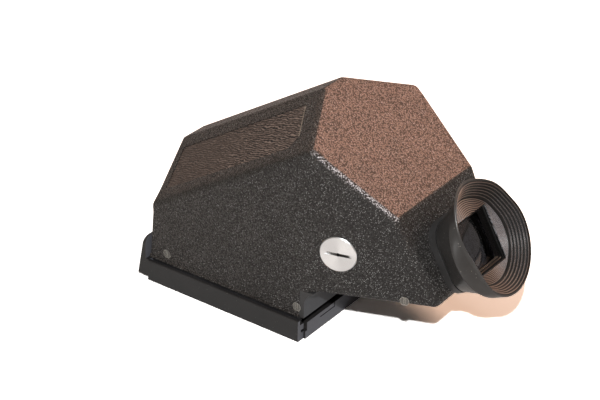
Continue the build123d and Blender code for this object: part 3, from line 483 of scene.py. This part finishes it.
def eyecup_rubber():
    """Moulded black rubber: painted warm light on the crests of ribs that face it, painted shade in the grooves
    and on the far side, a painted highlight on the near rim.
    """
    f = Finish("eyecup_rubber")
    grain = f.group("grain", {"Size": 0.3, "Detail": 4.0})
    hands = f.group("handling", {"Size": 8.0})["Mask"]
    dust = f.group("dust", {"Size": 0.2, "Amount": 0.015})["Mask"]
    faces_toward = f.group("faces_toward", {"Start": 0.4, "Full": 1.0})["Mask"]
    crest = f.node("Attribute", attribute_name="crest").outputs["Fac"]
    # painted warm light on the crests of ribs that face it
    painted_warm_light = f.group("faces_toward", {"Toward": (0.7, -0.5, 0.5), "Start": 0.3, "Full": 0.68})["Mask"]
    # far: painted shade on the far (+X) side, with less reflection there
    far = f.remap(f.part(f.place(), "X"), 0.0, 9.0)
    base = f.mix(hands, colour(0.026, 0.0255, 0.025), colour(0.036, 0.035, 0.034))
    base = f.mix(f.math("MULTIPLY", faces_toward, 0.3), base, colour(0.08, 0.070, 0.063))
    base = f.mix(f.math("MULTIPLY", far, 0.6), base, colour(0.006, 0.006, 0.006))
    base = f.mix(f.math("MULTIPLY", f.remap(crest, 0.5, 1.0), painted_warm_light), base, colour(0.31, 0.215, 0.170))
    edges = f.group("edge wear", {"Width": 0.5, "Amount": 0.8})["Mask"]
    # painted highlight on the near rim's edge
    near = f.group("faces_toward", {"Toward": (-0.75, -0.35, 0.56), "Start": 0.55, "Full": 0.9})["Mask"]
    base = f.mix(f.math("MULTIPLY", edges, near), base, colour(0.33, 0.34, 0.37))
    # painted shade in the ribs' grooves
    base = f.mix(f.remap(crest, 0.45, 0.05), base, colour(0.005, 0.004, 0.004))
    base = f.mix(f.math("MULTIPLY", dust, 0.8), base, colour(0.6, 0.56, 0.5))
    f.set(Base_Color=base, Roughness=f.remap(hands, 0.0, 1.0, 0.38, 0.28),
          Specular_IOR_Level=f.remap(far, 0.0, 1.0, 0.5, 0.3), Normal=f.bump(grain["Height"], 0.02))
    return f.material


def glass(name, tint, shine):
    """Polished glass with faint waves, tinted dark as painted shade for the black inside. A coating has less
    shine.
    """
    f = Finish(name, Base_Color=tint, Metallic=0.0, Roughness=0.0, IOR=1.55, Transmission_Weight=1.0,
               Specular_IOR_Level=shine)
    waves = f.group("grain", {"Size": 2.5, "Detail": 1.0})
    f.set(Normal=f.bump(waves["Height"], 0.0004))
    return f.material


def cork():
    """Fine cork sheet."""
    f = Finish("cork", Roughness=0.9)
    grain = f.group("grain", {"Size": 0.5, "Detail": 5.0})
    f.set(Base_Color=f.mix(grain["Mask"], colour(0.36, 0.22, 0.12), colour(0.16, 0.09, 0.05)),
          Normal=f.bump(grain["Height"], 0.12))
    return f.material


def plain_rubber(name, base):
    """Dull rubber or fibre."""
    f = Finish(name)
    grain = f.group("grain", {"Size": 0.25, "Detail": 4.0})
    f.set(Base_Color=f.mix(grain["Mask"], colour(*base), colour(*(1.6 * part for part in base))),
          Roughness=f.remap(grain["Height"], 0.3, 0.7, 0.6, 0.8), Normal=f.bump(grain["Height"], 0.05))
    return f.material


finishes = {
    "crinkle_paint": crinkle_paint(),
    "leatherette": leatherette(),
    "satin_paint": satin_black("satin_paint", colour(0.022, 0.022, 0.022), colour(0.032, 0.032, 0.033),
                               0.40, 0.45, rear=colour(0.056, 0.060, 0.067)),
    "black_anodised": satin_black("black_anodised", colour(0.02, 0.02, 0.022), colour(0.03, 0.03, 0.032),
                                  0.32, 0.5),
    "cover_plastic": satin_black("cover_plastic", colour(0.013, 0.0125, 0.0125), colour(0.019, 0.018, 0.018),
                                 0.40, 0.42, rear=colour(0.100, 0.103, 0.118)),
    "screw_steel": screw_steel(),
    "prism_glass": glass("prism_glass", colour(0.40, 0.42, 0.41), 0.04),
    "lens_glass": glass("lens_glass", colour(0.24, 0.23, 0.26), 0.0),
    "black_metal": satin_black("black_metal", colour(0.010, 0.010, 0.010), colour(0.016, 0.016, 0.016),
                               0.6, 0.3),
    "cork": cork(),
    "spring_steel": bare_metal("spring_steel", (0.45, 0.45, 0.46), 0.25),
    "soft_rubber": plain_rubber("soft_rubber", (0.03, 0.03, 0.03)),
    "eyecup_rubber": eyecup_rubber(),
    "retainer_metal": bronzed_frame(),
    "bush_brass": bare_metal("bush_brass", (0.70, 0.52, 0.28), 0.25),
    "washer_fibre": plain_rubber("washer_fibre", (0.04, 0.03, 0.03)),
    "turned_aluminium": turned_aluminium(),
}


def paint_nodes():
    """Every CAD node gets the finish that its record slot names."""
    for part in frame["record"]["subparts"]:
        node = frame["nodes"][part["node"]]
        if not node.material_slots:
            node.data.materials.append(None)
        for slot in node.material_slots:
            slot.material = finishes[part["material_slot"]]


# ---------------------------------------------------------------- building meshes
def skin_piece(name, points, faces, crest, slot, body):
    """A mesh piece that rides on a body. The crest says how high each point stands on a rib."""
    mesh = bpy.data.meshes.new(name)
    mesh.from_pydata([tuple(point) for point in points], [], faces)
    mesh.attributes.new("crest", "FLOAT", "POINT").data.foreach_set("value", crest)
    mesh.validate()
    bm = bmesh.new()
    bm.from_mesh(mesh)
    bmesh.ops.remove_doubles(bm, verts=bm.verts, dist=0.002 * MM)
    bmesh.ops.dissolve_degenerate(bm, edges=bm.edges, dist=0.001 * MM)
    bmesh.ops.recalc_face_normals(bm, faces=bm.faces)
    return finish_piece(bm, mesh, slot, body)


def finish_piece(bm, mesh, slot, body):
    """Writes a smooth mesh and gives it a place in the scene, its finish and its body."""
    for face in bm.faces:
        face.smooth = True
    bm.to_mesh(mesh)
    bm.free()
    piece = bpy.data.objects.new(mesh.name, mesh)
    bpy.context.scene.collection.objects.link(piece)
    mesh.materials.append(finishes[slot])
    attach(piece, body)
    return piece


def tube_of_loops(loops):
    """Points and faces of a closed skin through loops of equal length, the last joined to the first."""
    count = len(loops[0])
    points = [point for loop in loops for point in loop]
    faces = []
    for i in range(len(loops)):
        j = (i + 1) % len(loops)
        for k in range(count):
            n = (k + 1) % count
            faces.append((i * count + k, i * count + n, j * count + n, j * count + k))
    return points, faces


# ---------------------------------------------------------------- eyecup
cup_foot, cup_rim = along("eyecup", eye_out)
rim_radius = half("eyecup", RIGHT)
rim_up = middle("eyecup", eye_up)
neck_up = middle("eyepiece_bezel", eye_up)
neck_half_x = half("eyepiece_bezel", RIGHT)
neck_half_up = half("eyepiece_bezel", eye_up)
neck_end = along("eyepiece_bezel", eye_out)[1]
neck_corner = 8.0 * MM
neck_inset = 1.1 * MM            # from the bezel's flange to the part that the rubber grips
foot_round = 0.5 * MM
cavity_gap = 0.3 * MM            # between the neck's end and the cavity's roof
cavity_round = 0.4 * MM
window_up = middle("eye_lens", eye_up)
window_fit = 0.05 * MM
window_half_x = half("eye_lens", RIGHT) + window_fit
window_half_up = half("eye_lens", eye_up) + window_fit
window_corner = 1.0 * MM
lip_round = 0.55 * MM            # rim's lip
band_radius = rim_radius - 1.1 * MM
band_depth = 4.0 * MM            # from the rim down to the band's lower step
band_step = 0.8 * MM
band_round = 0.25 * MM
dish_depth = 6.6 * MM
dish_top = 0.45 * MM             # from the rim down to the dish's outer end
cone_inner = 15.5 * MM           # radius where the fine ribs end and the smooth cone starts
coarse_inner = 15.8 * MM
coarse_outer = rim_radius - 1.0 * MM
coarse_ribs = 6
coarse_pitch = (coarse_outer - coarse_inner) / coarse_ribs
coarse_height = 0.6 * MM
coarse_sink = 0.12 * MM          # grooves lie this far under the cone
fine_pitch = 0.60 * MM
fine_height = 0.4 * MM
fine_sink = 0.1 * MM
no_rib = 0.5                     # rib share of smooth rubber
spokes = 480
angles = [2 * math.pi * k / spokes for k in range(spokes)]
squashes = ((-16, 26, 2.9), (-103, 42, -5.6), (62, 18, -1.0))    # degrees round the rim, spread, outward mm


def eye_point(x, up, out):
    """Point from its place across, up and out along the eyepiece axis."""
    return RIGHT * x + eye_up * up + eye_out * out


def to_rounded_box(angle, start_up, half_x, half_up, corner, centre_up):
    """Distance from a start point on the middle line to a rounded rectangle, in a direction."""
    dx, du = math.sin(angle), math.cos(angle)
    low, high = 0.0, half_x + half_up + abs(centre_up - start_up)
    for _ in range(30):
        reach = (low + high) / 2
        x = abs(reach * dx) - (half_x - corner)
        u = abs(reach * du + start_up - centre_up) - (half_up - corner)
        outside = math.hypot(max(x, 0), max(u, 0)) + min(max(x, u), 0) - corner
        low, high = (reach, high) if outside < 0 else (low, reach)
    return low


def rim_give(angle):
    """How far the soft rim stands out from its moulded circle: it has been squashed at the left."""
    give = 0.0
    for centre, spread, height in squashes:
        turn = (math.degrees(angle) - centre + 180) % 360 - 180
        give += height * MM * math.exp(-(turn / spread) ** 2)
    return give


gives = [rim_give(a) for a in angles]
window_reach = [to_rounded_box(a, rim_up, window_half_x, window_half_up, window_corner, window_up)
                for a in angles]
neck_reach = [to_rounded_box(a, neck_up, neck_half_x, neck_half_up, neck_corner, neck_up) for a in angles]
grip_reach = [to_rounded_box(a, neck_up, neck_half_x - neck_inset, neck_half_up - neck_inset,
                             neck_corner - neck_inset, neck_up) for a in angles]


def rib(place, pitch, height):
    """Height of rounded ribs with narrow grooves at a place across them."""
    share = place / pitch % 1.0
    return height * (1 - abs(2 * share - 1) ** 1.9)


def dish_out(radius):
    """Level of the dish along the eyepiece axis at a distance from the rim's centre."""
    floor = cup_rim - dish_depth
    if radius <= cone_inner:
        return floor - fine_sink + rib(cone_inner - radius, fine_pitch, fine_height)
    rise = dish_depth - dish_top
    level = floor + rise * (radius - cone_inner) / (coarse_outer - cone_inner)
    if radius <= coarse_inner:
        return level
    return level - coarse_sink + rib(coarse_outer - radius, coarse_pitch, coarse_height)


def rib_share(radius):
    """How far up its rib a place of the dish is: 1 on a crest, 0 in a groove."""
    if radius <= cone_inner:
        return rib(cone_inner - radius, fine_pitch, 1.0)
    if coarse_inner <= radius <= coarse_outer:
        return rib(coarse_outer - radius, coarse_pitch, 1.0)
    return no_rib


def dish_radii():
    """Radii of the dish's rings, from inside the window out to the last rib."""
    fine_steps, cone_steps, coarse_steps = 8, 4, 10
    fine = int((cone_inner - min(window_reach)) / fine_pitch) + 1
    radii = [cone_inner - fine_pitch * i / fine_steps for i in range(fine * fine_steps, 0, -1)]
    radii += [cone_inner + (coarse_inner - cone_inner) * i / cone_steps for i in range(cone_steps)]
    radii += [coarse_inner + coarse_pitch * i / coarse_steps for i in range(coarse_ribs * coarse_steps + 1)]
    return radii


def quarter_round(steps, radius):
    """Steps round a quarter circle: how far each is along its start's direction and across it."""
    turns = [math.pi / 2 * i / steps for i in range(1, steps + 1)]
    return [(radius * math.sin(turn), radius * (1 - math.cos(turn))) for turn in turns]


def rim_ring(radius, out, share=0.0):
    """Round loop about the rim's axis, squashed by a share of the rim's own squash."""
    return [eye_point((radius + g * share) * math.sin(a), rim_up + (radius + g * share) * math.cos(a), out)
            for a, g in zip(angles, gives)]


def neck_ring(reach, inset, out):
    """Loop of the neck's rounded square, or of its grip."""
    return [eye_point((r - inset) * math.sin(a), neck_up + (r - inset) * math.cos(a), out)
            for a, r in zip(angles, reach)]


def blended_ring(share, radius, out):
    """Loop between the neck's rounded square, share 0, and a circle about the rim's axis, share 1."""
    up = neck_up + (rim_up - neck_up) * share
    loop = []
    for a, r in zip(angles, neck_reach):
        reach = r + (radius - r) * share
        loop.append(eye_point(reach * math.sin(a), up + reach * math.cos(a), out))
    return loop


def window_ring(out):
    """Loop of the window's edge."""
    return [eye_point(r * math.sin(a), rim_up + r * math.cos(a), out)
            for a, r in zip(angles, window_reach)]


def dish_loops():
    """Loops of the ribbed dish, stopped at the window's edge."""
    loops = []
    for radius in dish_radii():
        loop = []
        for a, g, stop in zip(angles, gives, window_reach):
            moulded = max(radius, stop)
            r = moulded + g * (moulded - stop) / (rim_radius - stop)
            loop.append(eye_point(r * math.sin(a), rim_up + r * math.cos(a), dish_out(moulded)))
        loops.append(loop)
    return loops


def rim_loops():
    """Loops over the rim's rounded lip, down the band and round its lower step."""
    loops = [rim_ring(rim_radius - lip_round, cup_rim, 1.0)]
    for away, down in quarter_round(8, lip_round):
        loops.append(rim_ring(rim_radius - lip_round + away, cup_rim - down, 1.0))
    steps = 8
    top, low = cup_rim - lip_round, cup_rim - band_depth + band_round
    for i in range(1, steps + 1):
        share = i / steps
        loops.append(rim_ring(rim_radius + (band_radius - rim_radius) * share, top + (low - top) * share,
                              (1 - share) ** 1.3))
    for down, inwards in quarter_round(4, band_round):
        loops.append(rim_ring(band_radius - inwards, low - down))
    return loops


def neck_loops():
    """Loops down the neck, from under the band to the foot that sits on the bezel."""
    loops = []
    start = band_radius - band_step
    under = cup_rim - band_depth
    foot = cup_foot + foot_round
    steps = 20
    for i in range(steps + 1):
        share = 1 - i / steps
        loops.append(blended_ring(share, start, foot + (under - foot) * share))
    for down, inwards in quarter_round(4, foot_round):
        loops.append(neck_ring(neck_reach, inwards, foot - down))
    return loops


def inside_loops():
    """Loops up the cavity that grips the neck, and up the window's wall."""
    roof = neck_end + cavity_gap
    return [neck_ring(grip_reach, 0, cup_foot), neck_ring(grip_reach, 0, roof - cavity_round),
            neck_ring(grip_reach, cavity_round, roof), window_ring(roof)]


def build_eyecup():
    """Rubber eyecup in place of its plain solid."""
    points, faces = tube_of_loops(dish_loops() + rim_loops() + neck_loops() + inside_loops())
    crest = [rib_share(max(radius, stop)) for radius in dish_radii() for stop in window_reach]
    crest += [no_rib] * (len(points) - len(crest))
    piece = skin_piece("eyecup_ribbed", points, faces, crest, "eyecup_rubber", "cup")
    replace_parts(piece, "eyecup")


# ---------------------------------------------------------------- leatherette panels
panel_grain = 0.2 * MM           # spacing of the points that carry the grain
panel_stretch = 0.34 * MM        # how far the leatherette is pressed out into its recess's edge
panel_rim = 0.6 * MM             # width of its rounded rim
panel_drop = 0.2 * MM            # how far the rim falls
panel_skirt = 0.6 * MM           # depth of its side walls
crease_depth = 0.26 * MM
crease_pitch = 0.95              # millimetres, like the places that the grain is read at
crease_slant = 0.36              # across the roof for each millimetre along it


def panel_axes(node):
    """Axes of a panel: along the roof, across it, and out of its face."""
    mesh = frame["nodes"][node].data
    face = max((f for f in mesh.polygons if f.normal.z > 0.3), key=lambda f: f.area)
    out = face.normal.copy()
    along_roof = RIGHT.cross(out).normalized()
    across = out.cross(along_roof)
    return along_roof, across, out


def panel_outline(node, along_roof, across, out):
    """Corner points of a panel's top face, in order round it, as (along, across), and its level."""
    mesh = frame["nodes"][node].data
    level = max(v.co.dot(out) for v in mesh.vertices)
    flat = {(round(v.co.dot(along_roof), 7), round(v.co.dot(across), 7))
            for v in mesh.vertices if v.co.dot(out) > level - 0.01 * MM}
    centre = (sum(p[0] for p in flat) / len(flat), sum(p[1] for p in flat) / len(flat))
    ring = sorted(flat, key=lambda p: math.atan2(p[1] - centre[1], p[0] - centre[0]))
    return ring, level


def leather_height(u, v):
    """Height of the grain at a place in millimetres, 0 to 1: wavy creases that run aslant the roof."""
    across = v + crease_slant * u
    bend = noise.noise(Vector((u * 0.28, across * 0.35, 3.1))) * 0.9
    bend += noise.noise(Vector((u * 0.8, across * 0.9, 9.4))) * 0.35
    wave = 0.5 + 0.5 * math.sin(2 * math.pi * (across / crease_pitch + bend))
    small = noise.noise(Vector((u * 0.9, across * 1.6, 7.7)))
    return min(1.0, max(0.0, wave + 0.45 * small))


def build_panel(node):
    """Leatherette panel with its grain, in place of its plain solid."""
    along_roof, across, out = panel_axes(node)
    ring, level = panel_outline(node, along_roof, across, out)
    us = [p[0] for p in ring]
    vs = [p[1] for p in ring]
    left, near = min(us), min(vs)
    columns = int((max(us) - left) / panel_grain) + 2
    rows = int((max(vs) - near) / panel_grain) + 2
    bm = bmesh.new()
    grid = [[bm.verts.new((left + panel_grain * i, near + panel_grain * j, 0)) for i in range(columns)]
            for j in range(rows)]
    for j in range(rows - 1):
        for i in range(columns - 1):
            bm.faces.new((grid[j][i], grid[j][i + 1], grid[j + 1][i + 1], grid[j + 1][i]))
    edges = list(zip(ring, ring[1:] + ring[:1]))
    for (u0, v0), (u1, v1) in edges:
        side = Vector((v1 - v0, u0 - u1, 0)).normalized()
        bmesh.ops.bisect_plane(bm, geom=bm.verts[:] + bm.edges[:] + bm.faces[:], dist=0.001 * MM,
                               plane_co=Vector((u0, v0, 0)) + side * panel_stretch, plane_no=side,
                               clear_outer=True)
    crest = bm.verts.layers.float.new("crest")
    for vertex in bm.verts:
        u, v = vertex.co.x, vertex.co.y
        inside = min(((v1 - v0) * (u0 - u) - (u1 - u0) * (v0 - v)) / math.hypot(u1 - u0, v1 - v0)
                     for (u0, v0), (u1, v1) in edges)
        rim = min(1.0, max(0.0, (inside + panel_stretch) / panel_rim))
        rim = math.sqrt(1 - (1 - rim) ** 2)
        grain = leather_height(u / MM, v / MM)
        vertex[crest] = grain * (0.3 + 0.7 * rim)
        vertex.co.z = level - panel_drop * (1 - rim) + (grain - 0.5) * rim * crease_depth
    border = [edge for edge in bm.edges if edge.is_boundary]
    skirt = bmesh.ops.extrude_edge_only(bm, edges=border)["geom"]
    for vertex in (g for g in skirt if isinstance(g, bmesh.types.BMVert)):
        vertex.co.z = level - panel_skirt
    basis = Matrix((along_roof, across, out)).transposed().to_4x4()
    bmesh.ops.transform(bm, matrix=basis, verts=bm.verts)
    mesh = bpy.data.meshes.new(node.replace("leatherette", "leather_panel"))
    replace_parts(finish_piece(bm, mesh, "leatherette", "finder"), node)


# ---------------------------------------------------------------- studio
def build_floor():
    """Pale table top, white to the camera, that keeps the object's shadow. Far off it is plain white."""
    mesh = bpy.data.meshes.new("table_top")
    reach = 4.0
    white_from, white_at = 250.0, 500.0
    mesh.from_pydata([(-reach, -reach, 0), (reach, -reach, 0), (reach, reach, 0), (-reach, reach, 0)], [],
                     [(0, 1, 2, 3)])
    floor = bpy.data.objects.new("table_top", mesh)
    bpy.context.scene.collection.objects.link(floor)
    material = bpy.data.materials.new("table_top")
    material.use_nodes = True
    w = Wiring(material.node_tree)
    w.tree.nodes.clear()
    path = w.node("LightPath").outputs
    pale = w.mix(path["Is Camera Ray"], colour(0.80, 0.79, 0.78), colour(2.1, 2.08, 2.06))
    # seen through deep glass the floor is painted dark, as shade for the inside
    inside = w.math("GREATER_THAN", path["Transmission Depth"], deep_in_glass)
    pale = w.mix(inside, pale, colour(0.02, 0.02, 0.02))
    plain = w.node("BsdfDiffuse", {"Color": pale}).outputs[0]
    white = w.node("Emission", {"Color": colour(1.0, 1.0, 1.0), "Strength": 1.0}).outputs[0]
    away = w.vector("DISTANCE", w.place(), (0.0, 0.0, 0.0))
    far_off = w.math("MULTIPLY", w.remap(away, white_from, white_at), path["Is Camera Ray"])
    both = w.node("MixShader", {0: far_off})
    w.feed(both.inputs[1], plain)
    w.feed(both.inputs[2], white)
    w.feed(w.node("OutputMaterial").inputs["Surface"], both.outputs[0])
    mesh.materials.append(material)


def build_world():
    """Even pale surroundings: white where they are seen, and a weak warm light everywhere else."""
    world = bpy.data.worlds.new("studio")
    bpy.context.scene.world = world
    world.use_nodes = True
    w = Wiring(world.node_tree)
    w.tree.nodes.clear()
    path = w.node("LightPath").outputs
    seen = w.math("MAXIMUM", path["Is Camera Ray"], path["Is Transmission Ray"])
    # seen through deep glass the world is weak, as painted shade for the inside
    seen = w.math("MULTIPLY", seen, w.math("LESS_THAN", path["Transmission Depth"], deep_in_glass))
    mirrored = w.math("MULTIPLY", path["Is Glossy Ray"], w.math("LESS_THAN", path["Transmission Depth"], 0.5))
    seen = w.math("MAXIMUM", seen, w.math("MULTIPLY", mirrored, 0.3))
    seen = w.math("MULTIPLY", seen, w.math("LESS_THAN", path["Diffuse Depth"], 0.5))
    weak = 0.05
    strength = w.math("MULTIPLY_ADD", seen, 1.0 - weak, weak)
    tint = w.mix(seen, colour(1.0, 0.82, 0.70), colour(1.0, 1.0, 1.0))
    light = w.node("Background", {"Color": tint, "Strength": strength})
    w.feed(w.node("OutputWorld").inputs["Surface"], light.outputs[0])


def soft_light(name, place, aim, size, power, tint):
    """Square softbox that faces a point."""
    lamp = bpy.data.lights.new(name, "AREA")
    lamp.size = size
    lamp.energy = power
    lamp.color = tint
    holder = bpy.data.objects.new(name, lamp)
    bpy.context.scene.collection.objects.link(holder)
    holder.location = place
    holder.rotation_mode = "QUATERNION"
    holder.rotation_quaternion = (Vector(aim) - Vector(place)).to_track_quat("-Z", "Y")


def build_lights():
    """A small light beside the camera, a warm one from the far side and a broad one overhead."""
    aim = Vector((0, -20 * MM, 35 * MM))
    soft_light("front_key", aim + Vector((-0.66, -0.43, 0.665)) * 1.2, aim, 0.03, 14.6, (1.0, 0.99, 0.98))
    soft_light("warm_side", aim + Vector((0.5, -0.5, 0.8)) * 0.9, aim, 0.3, 3.8, (1.0, 0.66, 0.48))
    soft_light("overhead", aim + Vector((0.1, 0.6, 0.9)), aim, 0.6, 1.4, (1.0, 0.95, 0.92))


def build_camera():
    """Camera above and behind the left side."""
    azimuth, elevation, roll = (math.radians(a) for a in (-54.66, 29.32, 1.2))
    distance = 676 * MM
    aim = Vector((-0.5 * MM, -9.03 * MM, 33.73 * MM))
    back = Vector((math.sin(azimuth) * math.cos(elevation), -math.cos(azimuth) * math.cos(elevation),
                   math.sin(elevation)))
    camera = bpy.data.objects.new("camera", bpy.data.cameras.new("camera"))
    bpy.context.scene.collection.objects.link(camera)
    camera.data.sensor_width = 36.0
    camera.data.lens = 109.1
    camera.data.clip_start = 0.01
    turn = (-back).to_track_quat("-Z", "Y").to_matrix() @ Matrix.Rotation(roll, 3, "Z")
    camera.matrix_world = Matrix.Translation(aim + back * distance) @ turn.to_4x4()
    bpy.context.scene.camera = camera


bpy.context.scene.view_settings.view_transform = "Standard"
paint_nodes()
build_eyecup()
build_panel("leatherette_left")
build_panel("leatherette_right")
build_floor()
build_world()
build_lights()
build_camera()
